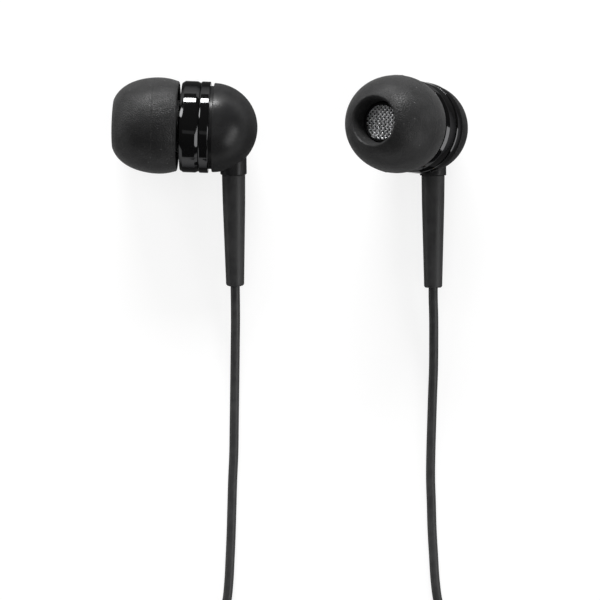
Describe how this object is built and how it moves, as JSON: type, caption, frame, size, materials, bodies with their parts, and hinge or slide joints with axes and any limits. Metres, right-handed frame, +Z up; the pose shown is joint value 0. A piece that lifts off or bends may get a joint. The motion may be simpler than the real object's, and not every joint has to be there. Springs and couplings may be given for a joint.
{
  "type": "wired in-ear earphones",
  "caption": "Round in-ear earphones with soft flanged tips, glossy front rings and tapered strain reliefs, on thin cords with a sliding cinch, a Y-split and a straight stereo plug.",
  "frame": {"origin": "centre of the bottom of the box round the two earpieces with their strain reliefs, on the surface that they lie on", "axes": "+X across the pair from the left earpiece to the right one, +Y from the cords up to the earpieces, +Z up from the surface"},
  "size_m": [0.0479, 0.1523, 0.0183],
  "materials": {
    "silicone": "soft matte silicone",
    "gloss_black": "polished black",
    "satin_black": "fine satin black",
    "soft_black": "soft-touch black",
    "cord_jacket": "smooth satin jacket",
    "strap": "matte",
    "mesh": "fine woven mesh",
    "foam": "open foam",
    "felt": "pressed felt",
    "film": "thin film",
    "copper_wire": "enamelled copper",
    "driver_steel": "plated",
    "magnet": "nickel plated",
    "driver_frame": "moulded",
    "board": "solder mask",
    "contact": "gold plated",
    "insulator": "moulded"
  },
  "bodies": {
    "earphones": {"left_front_shell": "gloss_black", "left_nozzle_grille": "mesh", "left_nozzle_foam": "foam", "left_trim_ring": "gloss_black", "left_rear_shell": "satin_black", "left_strain_relief": "soft_black", "left_cord_knot": "cord_jacket", "left_driver_gasket": "foam", "left_driver_cover": "driver_steel", "left_diaphragm": "film", "left_voice_coil": "copper_wire", "left_pole_plate": "driver_steel", "left_magnet": "magnet", "left_steel_cup": "driver_steel", "left_driver_frame": "driver_frame", "left_rear_felt": "felt", "left_terminal_board": "board", "left_lead_wires": "copper_wire", "left_cord": "cord_jacket", "left_coil": "cord_jacket", "left_tail": "cord_jacket", "left_tie": "strap", "right_front_shell": "gloss_black", "right_nozzle_grille": "mesh", "right_nozzle_foam": "foam", "right_trim_ring": "gloss_black", "right_rear_shell": "satin_black", "right_strain_relief": "soft_black", "right_cord_knot": "cord_jacket", "right_driver_gasket": "foam", "right_driver_cover": "driver_steel", "right_diaphragm": "film", "right_voice_coil": "copper_wire", "right_pole_plate": "driver_steel", "right_magnet": "magnet", "right_steel_cup": "driver_steel", "right_driver_frame": "driver_frame", "right_rear_felt": "felt", "right_terminal_board": "board", "right_lead_wires": "copper_wire", "right_cord": "cord_jacket", "right_coil": "cord_jacket", "right_tail": "cord_jacket", "right_tie": "strap", "y_split": "soft_black", "main_start": "cord_jacket", "main_coil": "cord_jacket", "main_end": "cord_jacket", "main_tie": "strap", "plug_grip": "soft_black", "plug_relief": "soft_black", "plug_cord": "cord_jacket", "plug_sleeve": "contact", "plug_ring": "contact", "plug_tip": "contact", "plug_insulators": "insulator"},
    "left_tip": {"left_ear_tip": "silicone"},
    "right_tip": {"right_ear_tip": "silicone"},
    "slider": {"cord_slider": "satin_black"}
  },
  "joints": [
    {"name": "left_tip_pull", "type": "slide", "parent": "earphones", "child": "left_tip", "axis": [-0.9993, 0.0366, 0], "range_m": [0, 0.007]},
    {"name": "right_tip_pull", "type": "slide", "parent": "earphones", "child": "right_tip", "axis": [-0.5298, 0.0111, 0.848], "range_m": [0, 0.007]},
    {"name": "slider_travel", "type": "slide", "parent": "earphones", "child": "slider", "axis": [0, 1, 0], "range_m": [0, 0.01]}
  ]
}
